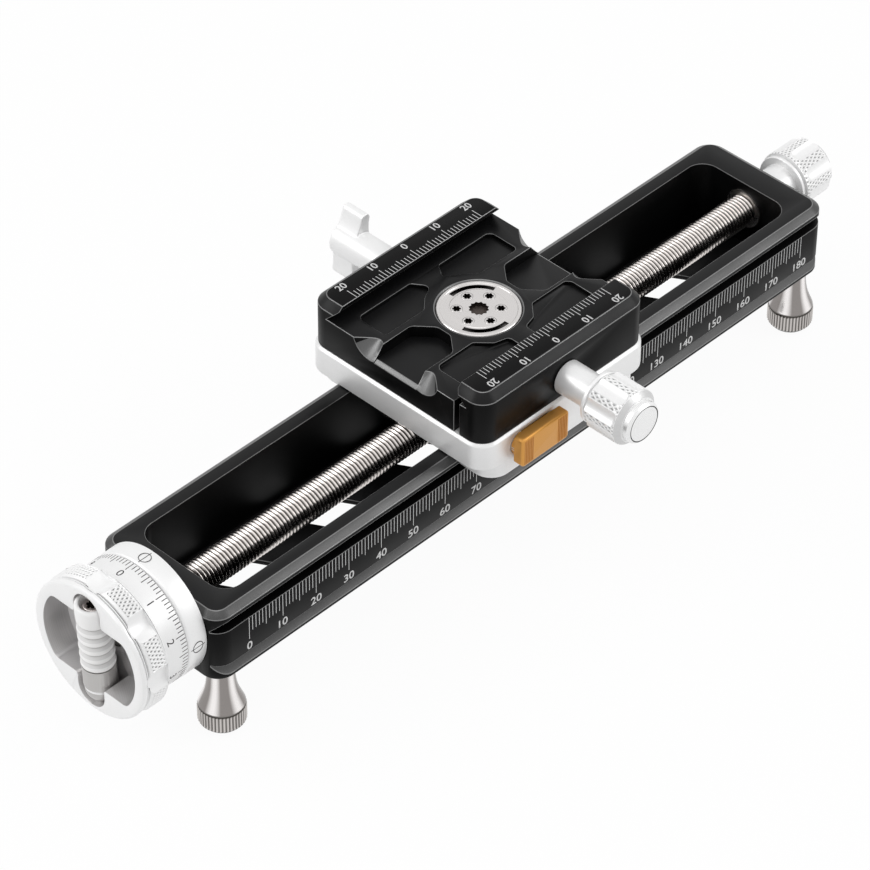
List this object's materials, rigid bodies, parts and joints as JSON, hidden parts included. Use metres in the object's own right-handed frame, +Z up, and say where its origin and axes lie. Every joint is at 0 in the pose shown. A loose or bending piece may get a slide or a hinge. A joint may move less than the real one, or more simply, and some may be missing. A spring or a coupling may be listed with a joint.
{
  "type": "macro focusing rail",
  "caption": "Long dovetail focusing rail with a screw-driven carriage, a folding crank in its main knob, a quick-release button, a turning plate clamp and short screw-in feet.",
  "frame": {"origin": "centre of the rail's flat underside, between the third and fourth floor windows", "axes": "+X along the rail away from the main knob, +Z up, and the rail's millimetre scale on the -Y side"},
  "size_m": [0.2381, 0.0928, 0.0569],
  "materials": {
    "black_anodised": "satin",
    "silver_anodised": "bead blasted satin",
    "white_silver": "fine satin",
    "gold_anodised": "satin",
    "steel": "machined",
    "foot_steel": "polished",
    "dark_steel": "oiled",
    "bronze": "machined",
    "slide_plastic": "matt"
  },
  "bodies": {
    "rail": {"rail_frame": "black_anodised", "front_bush": "bronze", "rear_bush": "bronze", "thrust_washers": "steel", "index_collar": "white_silver", "collar_screws": "dark_steel", "foot_front_near": "foot_steel", "foot_front_far": "foot_steel", "foot_rear_near": "foot_steel", "foot_rear_far": "foot_steel"},
    "screw": {"lead_screw": "steel", "dial_ring": "white_silver", "main_knob": "white_silver", "knob_screw": "dark_steel", "crank_pin": "steel", "rear_knob": "white_silver", "rear_knob_cap": "white_silver", "rear_set_screw": "dark_steel"},
    "crank": {"crank_stem": "steel", "crank_end_screw": "dark_steel"},
    "grip": {"crank_grip": "white_silver"},
    "carriage": {"carriage_plate": "silver_anodised", "glide_strips": "slide_plastic", "gib_strip": "bronze", "gib_screws": "dark_steel", "pan_post": "steel", "pan_cap": "steel", "pan_cap_screws": "steel", "pan_washer": "slide_plastic", "release_spring": "steel"},
    "release": {"release_slider": "silver_anodised", "half_nut": "bronze", "push_button": "gold_anodised"},
    "clamp": {"clamp_body": "black_anodised", "guide_pins": "steel", "jaw_springs": "steel", "pan_lock_shoe": "slide_plastic"},
    "jaw": {"moving_jaw": "black_anodised"},
    "jaw_knob": {"jaw_knob": "white_silver", "jaw_knob_cap": "white_silver", "jaw_screw": "steel"},
    "pan_lock": {"pan_lock_lever": "white_silver", "pan_lock_screw": "steel"}
  },
  "joints": [
    {"name": "screw_spin", "type": "hinge", "parent": "rail", "child": "screw", "pos_m": [0, 0, 0.01125], "axis": [-1, 0, 0], "range_deg": [-24122, 24122]},
    {"name": "carriage_slide", "type": "slide", "parent": "rail", "child": "carriage", "axis": [1, 0, 0], "range_m": [-0.067, 0.067]},
    {"name": "crank_fold", "type": "hinge", "parent": "screw", "child": "crank", "pos_m": [-0.116, 0, -0.0005], "axis": [0, -1, 0], "range_deg": [0, 87]},
    {"name": "grip_spin", "type": "hinge", "parent": "crank", "child": "grip", "pos_m": [-0.116, 0, -0.0005], "axis": [-0.0523, 0, 0.9986], "continuous": true},
    {"name": "release_push", "type": "slide", "parent": "carriage", "child": "release", "axis": [0, 1, 0], "range_m": [0, 0.001], "stiffness_N_per_m": 1500, "springref_m": -0.002},
    {"name": "clamp_pan", "type": "hinge", "parent": "carriage", "child": "clamp", "pos_m": [0, 0, 0.03], "axis": [0, 0, 1], "continuous": true},
    {"name": "jaw_knob_spin", "type": "hinge", "parent": "jaw", "child": "jaw_knob", "pos_m": [0, -0.03, 0.0309], "axis": [0, 1, 0], "range_deg": [-1081, 505]},
    {"name": "jaw_slide", "type": "slide", "parent": "clamp", "child": "jaw", "axis": [0, 1, 0], "range_m": [-0.003, 0.0014]},
    {"name": "pan_lock_turn", "type": "hinge", "parent": "clamp", "child": "pan_lock", "pos_m": [0, 0.03, 0.0309], "axis": [0, 1, 0], "range_deg": [-90, 90]}
  ],
  "couplings": [
    {"joint": "screw_spin", "follows": "carriage_slide", "rad_per_m": 6283.2},
    {"joint": "jaw_knob_spin", "follows": "jaw_slide", "rad_per_m": 6283.2}
  ]
}
